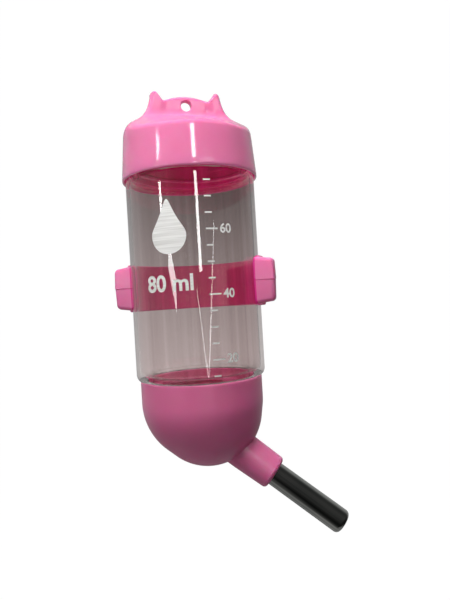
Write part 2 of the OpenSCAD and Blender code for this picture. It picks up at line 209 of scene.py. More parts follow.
combine(bottle, thread(OUTLET_R, 1, PITCH["base_drop"], outlet_thread_z, BASE_THREAD_H), "UNION")
smooth(bottle, 32)
bottle.visible_shadow = False


class Shade:
    """A value in one material's node tree: sums, products and powers of it add the Math nodes."""

    def __init__(self, tree, socket=None):
        self.tree, self.socket = tree, socket

    def node(self, kind, settings=None, values=None, out=0):
        """Adds a node with its settings and its inputs' values, and gives one of its outputs."""
        made = self.tree.nodes.new(kind)
        for key, value in (settings or {}).items():
            if key == "stops":
                steps = made.color_ramp.elements
                steps.remove(steps[1])
                steps[0].position, steps[0].color = value[0][0], (*value[0][1], 1)
                for place, colour in value[1:]:
                    steps.new(place).color = (*colour, 1)
            else:
                setattr(made, key, value)
        for key, value in (values or {}).items():
            if isinstance(value, Shade):
                self.tree.links.new(value.socket, made.inputs[key])
            else:
                made.inputs[key].default_value = value
        return Shade(self.tree, made.outputs[out])

    def maths(self, operation, first, second, clamp=False):
        """Adds a Math node, held between 0 and 1 where clamp is set."""
        settings = {"operation": operation, "use_clamp": clamp}
        return self.node("ShaderNodeMath", settings, {0: first, 1: second})

    def __add__(self, other):
        return self.maths("ADD", self, other)

    def __radd__(self, other):
        return self.maths("ADD", other, self)

    def __sub__(self, other):
        return self.maths("SUBTRACT", self, other)

    def __rsub__(self, other):
        return self.maths("SUBTRACT", other, self)

    def __mul__(self, other):
        return self.maths("MULTIPLY", self, other)

    def __rmul__(self, other):
        return self.maths("MULTIPLY", other, self)

    def __pow__(self, other):
        return self.maths("POWER", self, other)

    def __rpow__(self, other):
        return self.maths("POWER", other, self)


def new_finish(name, **constants):
    """New material: its shader with constants set, and Object coordinates as the start of its patterns."""
    finish = bpy.data.materials.new(name)
    finish.use_nodes = True
    shader = finish.node_tree.nodes["Principled BSDF"]
    for key, value in constants.items():
        shader.inputs[key.replace("_", " ")].default_value = value
    place = Shade(finish.node_tree).node("ShaderNodeTexCoord", out=3)
    return finish, shader, place


def feed(shader, **values):
    """Links values that vary over the surface to the shader's sockets."""
    for key, value in values.items():
        value.tree.links.new(value.socket, shader.inputs[key.replace("_", " ")])


def stretched(place, *scale):
    """A place drawn out along X, Y and Z, for patterns that run in lines."""
    return place.node("ShaderNodeMapping", None, {"Vector": place, "Scale": scale})


def noise(place, scale, detail, roughness=0.5):
    """Noise of so many grains a metre, or of one grain a unit of a stretched place."""
    return place.node("ShaderNodeTexNoise", None, {
        "Vector": place, "Scale": scale, "Detail": detail, "Roughness": roughness})


def tint_between(value, low, low_tint, high, high_tint):
    """Colour that goes from one tint to another as a value goes from low to high."""
    return value.node("ShaderNodeValToRGB", {"stops": [(low, low_tint), (high, high_tint)]}, {"Fac": value})


def relief(pattern, strength, depth):
    """Slopes of a surface that a pattern makes uneven, to a depth in metres."""
    return pattern.node("ShaderNodeBump", None, {"Strength": strength, "Distance": depth, "Height": pattern})


def height_on(place):
    """Height of a place in metres."""
    return place.node("ShaderNodeSeparateXYZ", None, {0: place}, out=2)


def dress(piece, finish):
    """Gives a piece one finish in place of what it had."""
    piece.data.materials.clear()
    piece.data.materials.append(finish)


FLOW_DEEP, FLOW_PALE, SHINE_TOP_Z = (0.80, 0.70, 0.69), (0.96, 0.87, 0.86), SHOULDER_Z - 1.4
clear, shader, place = new_finish(
    "clear_plastic", Transmission_Weight=1.0, IOR=1.012, Coat_IOR=1.55, Coat_Roughness=0.02)
flow_lines = noise(stretched(place, 420, 420, 7), 1.0, 3.0)
scuffs = noise(place, 260.0, 5.0)
feed(shader, Base_Color=tint_between(flow_lines, 0.3, FLOW_DEEP, 0.62, FLOW_PALE),
     Coat_Weight=place.maths("LESS_THAN", height_on(place), SHINE_TOP_Z * MM),
     Roughness=0.015 + 0.05 * scuffs ** 3, Normal=relief(flow_lines, 0.15, 0.0002))
dress(bottle, clear)
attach(bottle, "bottle")
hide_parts("bottle")

# Volume marks: white ink printed straight on the front of the bottle, as a drop, a volume and a scale with
# its numbers at the heights that the water reaches. Each mark is a thin film that follows the round wall.
PRINT_TURN, PRINT_R, PRINT_REACH, INK_T = math.radians(6.6), BOTTLE_R + 0.02, 18, 0.04
LETTER_SPREAD = 0.025
VOLUME_SIZE, VOLUME_X, VOLUME_Z = 6.4, -4.0, -56.0
LEVELS, NUMBERED, LEVEL_20_Z, ML_RISE = range(15, 76, 5), 20, -77.7, 0.911
LINE_X, LINE_W, LINE_H, LONG_LINE_X, LONG_LINE_W = 8.3, 2.0, 0.42, 9.0, 3.4
NUMBER_SIZE, NUMBER_X = 3.6, 13.2
DROP_R, DROP_X, DROP_Z, DROP_RISE, DROP_TAPER, DROP_SIDES = 5.2, -3.4, -42.5, 0.95, 0.52, 64


def flat_text(words, size, across, height):
    """Letters laid flat, centred at a distance across the front and at a height."""
    bpy.ops.object.select_all(action="DESELECT")
    bpy.ops.object.text_add()
    letters = bpy.context.object
    letters.data.body, letters.data.size, letters.data.resolution_u = words, size * MM, 6
    letters.data.align_x, letters.data.align_y = "CENTER", "CENTER"
    letters.data.offset = LETTER_SPREAD * size * MM
    bpy.ops.object.convert(target="MESH")
    letters.data.transform(Matrix.Translation(Vector((across, height, 0)) * MM))
    return letters


def flat_line(across, height, width, tall):
    """Short line of the scale, laid flat."""
    bpy.ops.object.select_all(action="DESELECT")
    bpy.ops.mesh.primitive_plane_add(size=MM, location=(across * MM, height * MM, 0))
    line = bpy.context.object
    line.scale = (width, tall, 1)
    bpy.ops.object.transform_apply()
    return line


marks = [flat_text("80 ml", VOLUME_SIZE, VOLUME_X, VOLUME_Z)]
for level in LEVELS:
    level_z = LEVEL_20_Z + (level - 20) * ML_RISE
    if level % NUMBERED:
        marks.append(flat_line(LINE_X, level_z, LINE_W, LINE_H))
    else:
        marks.append(flat_line(LONG_LINE_X, level_z, LONG_LINE_W, LINE_H))
        marks.append(flat_text(str(level), NUMBER_SIZE, NUMBER_X, level_z))
bpy.ops.object.select_all(action="DESELECT")
bpy.ops.mesh.primitive_circle_add(vertices=DROP_SIDES, radius=DROP_R * MM, fill_type="NGON")
drop = bpy.context.object
for corner in drop.data.vertices:
    if corner.co.y > 0:
        rise = corner.co.y / (DROP_R * MM)
        corner.co.y *= 1 + DROP_RISE * rise ** 3
        corner.co.x *= 1 - DROP_TAPER * rise ** 2.2
    corner.co += Vector((DROP_X, DROP_Z, 0)) * MM
# The drop takes in the other marks and becomes the whole film.
for mark in marks:
    mark.select_set(True)
bpy.ops.object.join()
drop.name = drop.data.name = "volume_marks"
bpy.ops.object.mode_set(mode="EDIT")
for cut in range(-PRINT_REACH, PRINT_REACH + 1):
    bpy.ops.mesh.select_all(action="SELECT")
    bpy.ops.mesh.bisect(plane_co=(cut * MM, 0, 0), plane_no=(1, 0, 0))
bpy.ops.mesh.select_all(action="SELECT")
bpy.ops.mesh.quads_convert_to_tris()
weld()
bpy.ops.object.mode_set(mode="OBJECT")
for corner in drop.data.vertices:
    bend = PRINT_TURN + corner.co.x / (PRINT_R * MM)
    corner.co = Vector((PRINT_R * MM * math.sin(bend), -PRINT_R * MM * math.cos(bend), corner.co.y))
film = drop.modifiers.new("film", "SOLIDIFY")
film.thickness, film.offset = INK_T * MM, 1
only(drop)
bpy.ops.object.modifier_apply(modifier="film")
smooth(drop, 30)

INK_THIN, INK_FULL = (0.80, 0.79, 0.76), (0.93, 0.92, 0.90)
ink, shader, place = new_finish("white_ink")
wipes = noise(stretched(place, 60, 60, 2600), 1.0, 2.0)
feed(shader, Base_Color=tint_between(wipes, 0.3, INK_THIN, 0.6, INK_FULL),
     Roughness=0.38 + 0.2 * wipes, Alpha=0.80 + 0.3 * wipes)
dress(drop, ink)
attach(drop, "bottle")

# Top cap: one glossy pink moulding, with a drafted skirt, a thread inside, and a roof that sweeps up into a
# fin with two soft ears and a round hole to hang it by. Its seal is a soft white ring.
hang_hole = next(mount for mount in frame["record"]["mounts"] if mount["name"] == "hang_hole")
FIN_TURN = math.radians(round(math.degrees(math.atan2(-hang_hole["axis"][0], hang_hole["axis"][1])), 2))
HOLE_R, HOLE_ROUND, HOLE_SIDES = hang_hole["dims"]["r_mm"], 0.7, 64
HOLE_MOUTH_R, HOLE_MOUTH_AT, HOLE_TOOL_END = 3.0, 1.75, 4.0
(_, _, RIM_Z), (RIM_R, _, _) = corners("top_cap")
RIM_IN_R, RIM_SOFT, RIM_ROUND, LIP_H, LIP_SOFT = 20.2, 0.25, 0.3, 1.0, 0.25
CAP_BORE_R, LEDGE_R, CEILING_R, CAP_SOFT = 18.5, 14.9, 3.9, 0.2
CEILING_SOFT_W, CEILING_SOFT_H, HOLLOW_SOFT_W, HOLLOW_SOFT_H = 0.5, 0.17, 0.4, 0.32
LAP_Z, LEDGE_Z, HOLLOW_Z, CEILING_Z, CAP_THREAD_Z = -21.4, -12.2, -11.0, -6.17, -20.2
EDGE_Z, EDGE_R, ROOF_R, CAP_SHOULDER_R, SHOULDER_POWER = -12.2, 2.0, 19.95, 5.4, 7
RIDGE_Z, FIN_HALF, FIN_TOP_HALF, FIN_HALF_T, FIN_END_R = -3.0, 12.7, 11.4, 1.2, 1.5
FIN_TOP, FIN_CROWN, FIN_EDGE, FIN_FILLET, END_FILLET, END_POWER = 3.1, 1.5, 0.9, 1.9, 0.9, 6
EAR_X, EAR_R, EAR_H, EAR_IN, EAR_HALF_T, EAR_BLEND = 10.2, 1.1, 1.3, 7.1, 1.9, 0.5
EAR_SWELL_AT, EAR_SWELL_W, EAR_TILT = 6.1, 3.5, math.radians(49)
DRAFT, END_TURN = math.radians(5.2), math.radians(15)
CAP_SIDES, CAP_GAP, CAP_SLIVER = 192, 4e-6, 1e-6
SKIRT_ROWS, EDGE_ROWS, ROOF_ROWS, FILLET_ROWS, WALL_ROWS, TOP_ROWS = 8, 12, 5, 6, 7, 7


def ease(value):
    """Soft step from 0 to 1."""
    value = min(1, max(0, value))
    return value * value * (3 - 2 * value)


def fin_height(x):
    """Height of the fin's outline above the hang hole."""
    x = abs(x)
    crown = FIN_TOP - FIN_CROWN * min(1, x / EAR_IN) ** 2
    ear_z = FIN_TOP + EAR_H - EAR_R
    tip_x, tip_z = EAR_X - EAR_R * math.sin(EAR_TILT), ear_z + EAR_R * math.cos(EAR_TILT)
    if x > tip_x:
        ear = ear_z + math.sqrt(max(0, EAR_R ** 2 - (x - EAR_X) ** 2))
    else:
        low = FIN_TOP - FIN_CROWN
        ear = low + (tip_z - low) * (x - EAR_IN) / (tip_x - EAR_IN)
    return (crown + ear + math.hypot(crown - ear, EAR_BLEND)) / 2 if x < EAR_X else ear


def fin_half_thickness(x):
    """Half the fin's thickness, which grows softly towards its ends to carry the ears."""
    return FIN_HALF_T + (EAR_HALF_T - FIN_HALF_T) * ease((abs(x) - EAR_SWELL_AT) / EAR_SWELL_W)


def fin_plan(turn):
    """Place on the fin's foot at a turn round the cap: how far along, and the share of half its thickness."""
    fold = min(turn % math.pi, math.pi - turn % math.pi)
    along = 1 if math.cos(turn) >= 0 else -1
    side = 1 if math.sin(turn) >= 0 else -1
    if fold < END_TURN:
        bow = fold / END_TURN * math.pi / 2
        return along * (FIN_HALF - FIN_END_R + FIN_END_R * math.cos(bow)), side * math.sin(bow)
    return along * (FIN_HALF - FIN_END_R) * (1 - (fold - END_TURN) / (math.pi / 2 - END_TURN)), side


def cap_line(turn):
    """Outline of the cap's outside at one turn, from the lip over the edge and the roof to the fin's top."""
    across, up = math.cos(turn), math.sin(turn)
    shoulder = abs(across) ** SHOULDER_POWER
    round_r = EDGE_R + (CAP_SHOULDER_R - EDGE_R) * shoulder
    round_z = EDGE_Z + EDGE_R * shoulder
    start = Vector((across, up)) * ROOF_R
    foot_x, side = fin_plan(turn)
    foot = Vector((foot_x, side * fin_half_thickness(foot_x)))
    inset = (foot - start).length
    inward = (foot - start) / inset
    away = Vector((inset - round_r, RIDGE_Z - round_z))
    stop = math.pi - math.atan2(away.y, away.x) - math.acos(round_r / away.length)
    lip_z = RIM_Z + LIP_H
    skirt_h = round_z + round_r * math.sin(DRAFT) - lip_z
    line = []
    for k in range(SKIRT_ROWS):
        r = RIM_R + (ROOF_R - RIM_R) * k / SKIRT_ROWS
        line.append((across * r, up * r, lip_z + skirt_h * k / SKIRT_ROWS))
    for k in range(EDGE_ROWS + 1):
        a = DRAFT + (stop - DRAFT) * k / EDGE_ROWS
        spot = start + inward * (round_r - round_r * math.cos(a))
        line.append((spot.x, spot.y, round_z + round_r * math.sin(a)))
    edge = Vector(line[-1])
    ridge = Vector((foot.x, foot.y, RIDGE_Z))
    fillet = FIN_FILLET * (1 + END_FILLET * abs(foot_x / FIN_HALF) ** END_POWER)
    near = ridge + (edge - ridge) * min(1, fillet / (ridge - edge).length)
    line += [tuple(edge.lerp(near, k / ROOF_ROWS)) for k in range(1, ROOF_ROWS + 1)]
    lean = (1 - FIN_TOP_HALF / FIN_HALF) / (FIN_TOP - FIN_CROWN - RIDGE_Z)
    wall = Vector((foot_x * (1 - lean * fillet), foot.y, RIDGE_Z + fillet))
    for k in range(1, FILLET_ROWS + 1):
        t = k / FILLET_ROWS
        line.append(tuple(near.lerp(ridge, t).lerp(ridge.lerp(wall, t), t)))
    top_z = fin_height(foot_x * FIN_TOP_HALF / FIN_HALF) - FIN_EDGE
    top_x = foot_x * (1 - lean * (top_z - RIDGE_Z))
    for k in range(1, WALL_ROWS + 1):
        z = wall.z + (top_z - wall.z) * k / WALL_ROWS
        line.append((foot_x * (1 - lean * (z - RIDGE_Z)), foot.y, z))
    for k in range(1, TOP_ROWS + 1):
        a = math.pi / 2 * k / TOP_ROWS
        line.append((top_x, foot.y * math.cos(a), top_z + FIN_EDGE * math.sin(a)))
    return line


cap_inside = [
    (AXIS_R, CEILING_Z), (CEILING_R - CEILING_SOFT_W, CEILING_Z),
    (CEILING_R + CEILING_SOFT_W, CEILING_Z - CEILING_SOFT_H),
    (LEDGE_R - HOLLOW_SOFT_W, HOLLOW_Z + HOLLOW_SOFT_H), (LEDGE_R, HOLLOW_Z),
    (LEDGE_R, LEDGE_Z + CAP_SOFT), (LEDGE_R + CAP_SOFT, LEDGE_Z),
    (CAP_BORE_R - CAP_SOFT, LEDGE_Z), (CAP_BORE_R, LEDGE_Z - CAP_SOFT),
    (CAP_BORE_R, LAP_Z + CAP_SOFT), (CAP_BORE_R + CAP_SOFT, LAP_Z),
    (RIM_IN_R - CAP_SOFT, LAP_Z), (RIM_IN_R, LAP_Z - CAP_SOFT),
    (RIM_IN_R, RIM_Z + RIM_SOFT), (RIM_IN_R + RIM_SOFT, RIM_Z)]
cap_inside += arc(RIM_R - RIM_ROUND, RIM_Z + RIM_ROUND, RIM_ROUND, -90, 0, 2)
cap_inside += [(RIM_R, RIM_Z + LIP_H - LIP_SOFT)]
cap_rows = len(cap_inside) + len(cap_line(0.0))
bpy.ops.object.select_all(action="DESELECT")
bpy.ops.mesh.primitive_grid_add(x_subdivisions=CAP_SIDES, y_subdivisions=cap_rows - 1, size=CAP_BORE_R * MM)
cap = bpy.context.object
cap.name = cap.data.name = "top_cap_shell"
for column in range(CAP_SIDES + 1):
    turn = math.tau * (column % CAP_SIDES) / CAP_SIDES
    spots = [(r * math.cos(turn), r * math.sin(turn), z) for r, z in cap_inside] + cap_line(turn)
    for row, spot in enumerate(spots):
        cap.data.vertices[row * (CAP_SIDES + 1) + column].co = Vector(spot) * MM
only(cap)
bpy.ops.object.mode_set(mode="EDIT")
bpy.ops.mesh.select_all(action="SELECT")
bpy.ops.mesh.remove_doubles(threshold=CAP_GAP)
bpy.ops.mesh.dissolve_degenerate(threshold=CAP_SLIVER)
face_outwards()
bpy.ops.object.mode_set(mode="OBJECT")
hole_throat = (arc(HOLE_R + HOLE_ROUND, -FIN_HALF_T / 2, HOLE_ROUND, 240, 180, 5)
               + arc(HOLE_R + HOLE_ROUND, FIN_HALF_T / 2, HOLE_ROUND, 180, 120, 5))
hole = turned("hole_cut", [
    (AXIS_R, -HOLE_TOOL_END), (HOLE_MOUTH_R, -HOLE_TOOL_END), (HOLE_MOUTH_R, -HOLE_MOUTH_AT)]
    + hole_throat
    + [(HOLE_MOUTH_R, HOLE_MOUTH_AT), (HOLE_MOUTH_R, HOLE_TOOL_END), (AXIS_R, HOLE_TOOL_END)], HOLE_SIDES)
hole.data.transform(Matrix.Rotation(math.radians(90), 4, "X"))
combine(cap, hole, "DIFFERENCE")
cap.data.transform(Matrix.Rotation(FIN_TURN, 4, "Z"))
combine(cap, thread(CAP_BORE_R, -1, PITCH["cap_lift"], CAP_THREAD_Z, CAP_THREAD_H), "UNION")
smooth(cap, 35)


NEAR_CRISP, TOP_CRISP = 6.0, 4.0


def inner_side(place, reach, flare, top):
    """Mask of painted shade on a piece's inside: 1 on surfaces nearer the axis than a reach that flares out
    downwards, below a top, and 0 elsewhere.
    """
    flat = stretched(place, 1 / MM, 1 / MM, 0)
    away = place.node("ShaderNodeVectorMath", {"operation": "LENGTH"}, {0: flat}, out=1)
    height = height_on(place) * (1 / MM)
    near = place.maths("MULTIPLY", reach - flare * height - away, NEAR_CRISP, clamp=True)
    low = place.maths("MULTIPLY", top - height, TOP_CRISP, clamp=True)
    return near * low


def pink_plastic(name, pink, pale, shine, dust, grain, coat, shaded_inside=None, painted_shade=None):
    """Pink moulded plastic: colour that clouds a little, a grained skin, and scuffs that dull its shine.

    An inner side, where the piece has one, gets painted shade: a deeper, darker pink that stands in for the little
    light that gets in there.
    """
    finish, shader, place = new_finish(
        name, IOR=1.5, Subsurface_Weight=0.6, Subsurface_Radius=(1.0, 0.35, 0.75), Subsurface_Scale=0.0022,
        Coat_Roughness=0.06, Coat_Weight=coat)
    cloud = noise(place, 55.0, 3.0)
    specks = noise(place, 700.0, 6.0, 0.7)
    tint = tint_between(cloud * 0.8 + specks * 0.2, 0.3, pink, 0.75, pale)
    if shaded_inside:
        tint = place.node("ShaderNodeMix", {"data_type": "RGBA"}, {
            0: inner_side(place, **shaded_inside), 6: tint, 7: (*painted_shade, 1)}, out=2)
    feed(shader, Base_Color=tint, Roughness=shine + dust * specks ** 2 + 0.04 * cloud,
         Normal=relief(noise(place, 1500.0, 2.0), grain, 0.00005))
    return finish


CAP_PINK, CAP_PALE, CAP_PAINTED_SHADE = (0.76, 0.195, 0.39), (0.80, 0.23, 0.43), (0.85, 0.015, 0.28)
# The last colour above is painted shade: a darker, deeper pink on the cap's inside, where little light gets in.
CAP_SHADED_INSIDE = {"reach": 17.755, "flare": 0.1184, "top": -11.3}
dress(cap, pink_plastic(
    "glossy_pink_plastic", CAP_PINK, CAP_PALE, shine=0.07, dust=0.09, grain=0.05, coat=0.25,
    shaded_inside=CAP_SHADED_INSIDE, painted_shade=CAP_PAINTED_SHADE))
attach(cap, "cap")
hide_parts("top_cap")

SILICONE_DULL, SILICONE_PALE = (0.70, 0.69, 0.66), (0.83, 0.82, 0.80)
silicone, shader, place = new_finish(
    "white_silicone", Subsurface_Weight=0.2, Subsurface_Radius=(0.002, 0.002, 0.002))
powder = noise(place, 900.0, 4.0)
feed(shader, Base_Color=tint_between(powder, 0.25, SILICONE_DULL, 0.7, SILICONE_PALE),
     Roughness=0.5 + 0.25 * powder)
for seal in ("cap_seal", "base_seal"):
    dress(frame["nodes"][seal], silicone)

# Base cup: one satin pink moulding, a half ball that swells towards the spout, with a thread inside its rim
# and a slanted socket that holds the tube. The socket stands on the ball with a crisp inside corner.
_, (_, _, CUP_RIM_Z) = corners("base_cup")
CUP_R, BALL_Z, CUP_SIDES, CUP_STEPS, RIM_EDGE, NEAR = 18.9, -91.65, 160, 48, 0.35, 0.1
CUP_BORE_R, CUP_HOLLOW_R, CUP_SEAT_Z, CUP_THREAD_Z = 17.3, 15.5, -92.85, -89.2
HOLLOW_SIDES, HOLLOW_STEPS, BORE_LEAD, BORE_LEAD_H = 128, 32, 0.35, 0.3
PAST_FACE, PAST_BORE, PAST_RIM, PAST_RIM_LEAD = 0.05, 1.0, 2.0, 0.6
BELLY, BELLY_R, BELLY_STEPS = Vector((1.5, 0, -3.7)), 16.9, 16
tip_push = next(joint for joint in frame["joints"] if joint["name"] == "tip_push")
SPOUT_Z, SPOUT_DIP = -99.35, math.radians(round(math.degrees(math.asin(tip_push["axis"][2])), 2))
SOCKET_START, SOCKET_FACE, SOCKET_END = 8.0, 15.25, 26.55
SOCKET_ROOT_R, SOCKET_END_R, SOCKET_ROUND, SPOUT_SIDES = 5.55, 5.2, 1.2, 96
TUBE_STOP, TUBE_HOLE_R, TUBE_LEAD, TUBE_LEAD_H = 14.25, 3.63, 0.2, 0.15
PASSAGE_R, PASSAGE_START, PAST_END = 2.5, 2.0, 3.0
along_spout = Matrix.Translation((0, 0, SPOUT_Z * MM)) @ Matrix.Rotation(math.pi / 2 + SPOUT_DIP, 4, "Y")


def ball_reach(towards):
    """Distance from the ball's centre to the skin that wraps the ball and the belly, in one direction."""
    far = 0
    for share in [k / BELLY_STEPS for k in range(BELLY_STEPS + 1)]:
        centre = BELLY * share
        radius = CUP_R + (BELLY_R - CUP_R) * share
        along = towards.dot(centre)
        far = max(far, along + math.sqrt(along ** 2 - centre.length_squared + radius ** 2))
    return far


def half_ball(height_at, radius, steps):
    """Outline of the lower half of a ball, from its widest place down to the axis."""
    return [(max(AXIS_R, r), z) for r, z in arc(0, height_at, radius, 0, -90, steps)]


cup = turned("base_cup_shell", [(AXIS_R, CUP_RIM_Z), (CUP_BORE_R - PAST_BORE, CUP_RIM_Z)]
             + arc(CUP_R - RIM_EDGE, CUP_RIM_Z - RIM_EDGE, RIM_EDGE, 90, 0, 2)
             + half_ball(BALL_Z, CUP_R, CUP_STEPS), CUP_SIDES)
ball_centre = Vector((0, 0, BALL_Z))
for vertex in cup.data.vertices:
    out = vertex.co / MM - ball_centre
    if out.z < NEAR and out.length > CUP_R - NEAR:
        vertex.co = (ball_centre + out.normalized() * ball_reach(out.normalized())) * MM
socket = turned("socket", [
    (AXIS_R, SOCKET_START), (SOCKET_ROOT_R, SOCKET_START), (SOCKET_ROOT_R, SOCKET_FACE)]
    + arc(SOCKET_END_R - SOCKET_ROUND, SOCKET_END - SOCKET_ROUND, SOCKET_ROUND, 0, 90, 8)
    + [(PASSAGE_R, SOCKET_END), (AXIS_R, SOCKET_END)], SPOUT_SIDES)
socket.data.transform(along_spout)
combine(cup, socket, "UNION")
hollow = turned("hollow", [
    (AXIS_R, CUP_RIM_Z + PAST_RIM), (CUP_BORE_R + PAST_RIM_LEAD, CUP_RIM_Z + PAST_RIM),
    (CUP_BORE_R + BORE_LEAD, CUP_RIM_Z + PAST_FACE), (CUP_BORE_R, CUP_RIM_Z - BORE_LEAD_H),
    (CUP_BORE_R, CUP_SEAT_Z)]
    + half_ball(CUP_SEAT_Z, CUP_HOLLOW_R, HOLLOW_STEPS), HOLLOW_SIDES)
combine(cup, hollow, "DIFFERENCE")
bore = turned("bore", [
    (AXIS_R, PASSAGE_START), (PASSAGE_R, PASSAGE_START), (PASSAGE_R, TUBE_STOP), (TUBE_HOLE_R, TUBE_STOP),
    (TUBE_HOLE_R, SOCKET_END - TUBE_LEAD_H), (TUBE_HOLE_R + TUBE_LEAD, SOCKET_END + PAST_FACE),
    (TUBE_HOLE_R + TUBE_LEAD, SOCKET_END + PAST_END), (AXIS_R, SOCKET_END + PAST_END)], SPOUT_SIDES)
bore.data.transform(along_spout)
combine(cup, bore, "DIFFERENCE")
combine(cup, thread(CUP_BORE_R, -1, PITCH["base_drop"], CUP_THREAD_Z, BASE_THREAD_H), "UNION")
smooth(cup, 35)

CUP_PINK, CUP_PALE = (0.77, 0.172, 0.37), (0.81, 0.20, 0.405)
dress(cup, pink_plastic(
    "satin_pink_plastic", CUP_PINK, CUP_PALE, shine=0.27, dust=0.12, grain=0.12, coat=0.0))
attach(cup, "base")
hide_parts("base_cup")

# Drinking tube: a length of polished stainless tube, pushed into the socket, with its tip rolled in to keep
# two steel balls from falling out. The front ball shows in the tip.
_, (_, TUBE_R, _) = corners("drinking_tube")
TUBE_WALL, TUBE_GAP, TUBE_TIP, TIP_ROUND, TIP_HOLE_R = 0.35, 0.03, 50.85, 1.4, 2.2
TUBE_BORE_R, TUBE_START, TUBE_SOFT_W, TUBE_SOFT_H = TUBE_R - TUBE_WALL, TUBE_STOP + TUBE_GAP, 0.05, 0.07
ROLL_R, ROLL_BACK, ROLL_SOFT_W, ROLL_SOFT_H = 0.25, 1.55, 0.05, 0.02
BALL_R, TIP_BALL_AT, BALL_CUTS = 3.0, 48.26, 15
tube = turned("steel_tube", [
    (TUBE_BORE_R, TUBE_START), (TUBE_R - TUBE_SOFT_W, TUBE_START), (TUBE_R, TUBE_START + TUBE_SOFT_H)]
    + arc(TUBE_R - TIP_ROUND, TUBE_TIP - TIP_ROUND, TIP_ROUND, 0, 90, 14)
    + [(TIP_HOLE_R + ROLL_SOFT_W, TUBE_TIP - ROLL_SOFT_H)]
    + arc(TIP_HOLE_R + ROLL_R, TUBE_TIP - ROLL_R, ROLL_R, 150, 210, 4)
    + [(TUBE_BORE_R, TUBE_TIP - ROLL_BACK)], SPOUT_SIDES)
tube.data.transform(along_spout)
smooth(tube, 40)
bpy.ops.object.select_all(action="DESELECT")
bpy.ops.mesh.primitive_cube_add(size=BALL_R * MM)
ball = bpy.context.object
ball.name = ball.data.name = "tip_ball_polished"
bpy.ops.object.mode_set(mode="EDIT")
bpy.ops.mesh.subdivide(number_cuts=BALL_CUTS)
bpy.ops.transform.tosphere(value=1)
bpy.ops.object.mode_set(mode="OBJECT")
for vertex in ball.data.vertices:
    vertex.co *= BALL_R * MM / vertex.co.length
ball.data.transform(along_spout @ Matrix.Translation((0, 0, TIP_BALL_AT * MM)))
smooth(ball, 60)

STEEL_DARK, STEEL_PALE = (0.24, 0.26, 0.25), (0.58, 0.58, 0.55)
polished, shader, place = new_finish("polished_steel", Metallic=1.0, IOR=2.5)
along_tube = place.node("ShaderNodeMapping", None, {"Vector": place, "Rotation": (0, -SPOUT_DIP, 0)})
drawn = noise(stretched(along_tube, 9, 1300, 1300), 1.0, 4.0)
smear = noise(place, 130.0, 4.0)
feed(shader, Base_Color=tint_between(drawn * 0.8 + smear * 0.2, 0.35, STEEL_DARK, 0.65, STEEL_PALE),
     Roughness=0.05 + 0.05 * smear + 0.02 * drawn, Normal=relief(drawn, 0.01, 0.00001))
for steel in (tube, ball, frame["nodes"]["inner_ball"]):
    dress(steel, polished)
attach(tube, "base")
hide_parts("drinking_tube")
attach(ball, "tip_ball")
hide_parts("tip_ball")

# Clip: one springy pink moulding, a band round the back of the bottle with a barbed block at each end that
# hooks behind a cage wire. Its two mould halves meet at mid height, which leaves a parting line all round.
(_, _, clip_low_z), (BLOCK_END, CLIP_OUT_R, clip_high_z) = corners("clip")
CLIP_Z, CLIP_HALF_H = (clip_low_z + clip_high_z) / 2, (clip_high_z - clip_low_z) / 2
CLIP_IN_R, CLIP_DRAFT, BAND_GRIP, BAND_STEPS, BAND_GAP = 20.2, 0.2, math.radians(9), 104, 1e-6
BAND_SOFT, BAND_ROUND_W, BAND_ROUND_H, BAND_CORNER_W, BAND_CORNER_H = 0.25, 0.45, 0.5, 0.12, 0.13
PARTING_STEP, PARTING_HALF_W = 0.12, 0.05
right_seat = next(mount for mount in frame["record"]["mounts"] if mount["name"] == "right_wire_seat")
WIRE_X, BLOCK_BACK, _ = [round(value / MM, 3) for value in right_seat["pos_m"]]
WIRE_R, WIRE_SIDES = right_seat["dims"]["r_mm"], 48
BLOCK_IN, BLOCK_FRONT, BLOCK_ROUND, BLOCK_ROUND_STEPS = 18.0, -4.95, 1.25, 6
BLOCK_ROOT_HALF_H, BLOCK_HALF_H, BLOCK_END_HALF_H = 7.3, 7.1, 6.3
BLOCK_LEAN, LEAN_FROM_BACK, LEAN_FROM_END, LEAN_RUN = 0.22, 1.0, 2.0, 1.5
GROOVE_HALF_W, GROOVE_DEEP, ROOM_HALF_H, ROOM_SIDES = 0.18, 0.25, 9.0, 208
edge_r = CLIP_OUT_R - CLIP_DRAFT
half_edge = [
    (edge_r, CLIP_HALF_H - BAND_ROUND_H), (edge_r - BAND_CORNER_W, CLIP_HALF_H - BAND_CORNER_H),
    (edge_r - BAND_ROUND_W, CLIP_HALF_H), (CLIP_IN_R + BAND_SOFT, CLIP_HALF_H),
    (CLIP_IN_R, CLIP_HALF_H - BAND_SOFT)]
section = ([(r, -z) for r, z in reversed(half_edge)]
           + [(CLIP_OUT_R - PARTING_STEP, -PARTING_HALF_W), (CLIP_OUT_R, PARTING_HALF_W)] + half_edge)
bpy.ops.object.select_all(action="DESELECT")
bpy.ops.mesh.primitive_circle_add(
    vertices=len(section), radius=MM, fill_type="NGON", rotation=(math.radians(90), 0, 0))
clip = bpy.context.object
clip.name = clip.data.name = "cage_clip"
bpy.ops.object.transform_apply()
swing = Matrix.Rotation(-BAND_GRIP, 4, "Z")
for corner, (r, z) in zip(clip.data.vertices, section):
    corner.co = swing @ (Vector((r, 0, CLIP_Z + z)) * MM)
bpy.ops.object.mode_set(mode="EDIT")
bpy.ops.mesh.select_all(action="SELECT")
bpy.ops.mesh.spin(steps=BAND_STEPS, angle=-(math.pi + 2 * BAND_GRIP), center=(0, 0, 0), axis=(0, 0, 1))
bpy.ops.mesh.select_all(action="SELECT")
bpy.ops.mesh.remove_doubles(threshold=BAND_GAP)
face_outwards()
bpy.ops.object.mode_set(mode="OBJECT")


